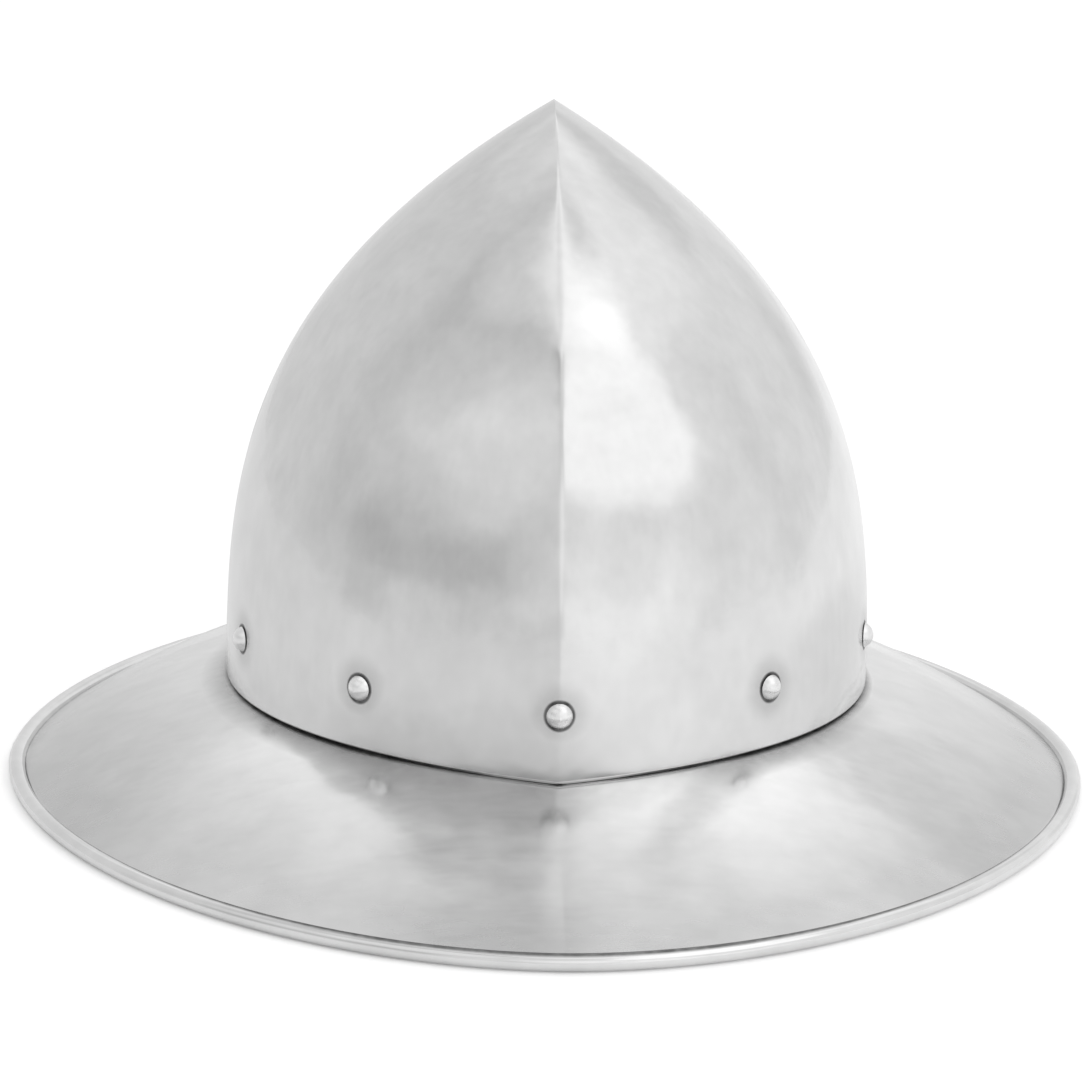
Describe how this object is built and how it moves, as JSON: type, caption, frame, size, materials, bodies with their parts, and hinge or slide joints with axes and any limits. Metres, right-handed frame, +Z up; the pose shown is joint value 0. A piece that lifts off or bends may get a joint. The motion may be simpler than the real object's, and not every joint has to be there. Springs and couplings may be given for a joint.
{
  "type": "kettle hat",
  "caption": "Pointed kettle hat in satin steel: ridged one-plate crown riveted to a broad sloping brim with a wired edge, leather liner and buckled chin strap inside",
  "frame": {"origin": "middle of the rim on the surface that the hat rests on", "axes": "+Z up through the point of the crown, -Y to the front of the hat, +X to the wearer's left as seen from the front; the ridge and the longer diameter of the rim lie along Y"},
  "size_m": [0.3514, 0.4073, 0.217],
  "materials": {
    "steel": "satin polished, fine hand-polishing marks",
    "rivet_steel": "polished domes, peened tails",
    "iron_wire": "drawn wire",
    "band_leather": "oiled vegetable-tanned",
    "tongue_leather": "supple, waxed",
    "strap_leather": "dyed, burnished edges",
    "brass": "satin",
    "buckle_steel": "satin"
  },
  "bodies": {
    "helmet": {"skull": "steel", "brim": "steel", "rim_wire": "iron_wire", "skull_rivets": "rivet_steel", "rivet_washers": "rivet_steel", "liner_band": "band_leather", "liner_tongue_1": "tongue_leather", "liner_tongue_2": "tongue_leather", "liner_tongue_3": "tongue_leather", "liner_tongue_4": "tongue_leather", "liner_tongue_5": "tongue_leather", "liner_tongue_6": "tongue_leather", "liner_tongue_7": "tongue_leather", "liner_tongue_8": "tongue_leather", "crown_patch": "band_leather", "crown_rivets": "brass", "chin_strap_short": "strap_leather", "chin_strap_long": "strap_leather"},
    "keeper": {"strap_keeper": "strap_leather"},
    "frame": {"buckle_frame": "buckle_steel"},
    "prong": {"buckle_prong": "buckle_steel"}
  },
  "joints": [
    {"name": "keeper_slide", "type": "slide", "parent": "helmet", "child": "keeper", "axis": [0.949, 0.3154, 0], "range_m": [-0.003, 0.003]},
    {"name": "buckle_frame_hinge", "type": "hinge", "parent": "helmet", "child": "frame", "pos_m": [-0.01333, -0.00225, 0.00558], "axis": [0.3154, -0.949, 0], "range_deg": [0, 75]},
    {"name": "prong_hinge", "type": "hinge", "parent": "frame", "child": "prong", "pos_m": [-0.01333, -0.00225, 0.00558], "axis": [0.3154, -0.949, 0], "range_deg": [0, 60]}
  ]
}
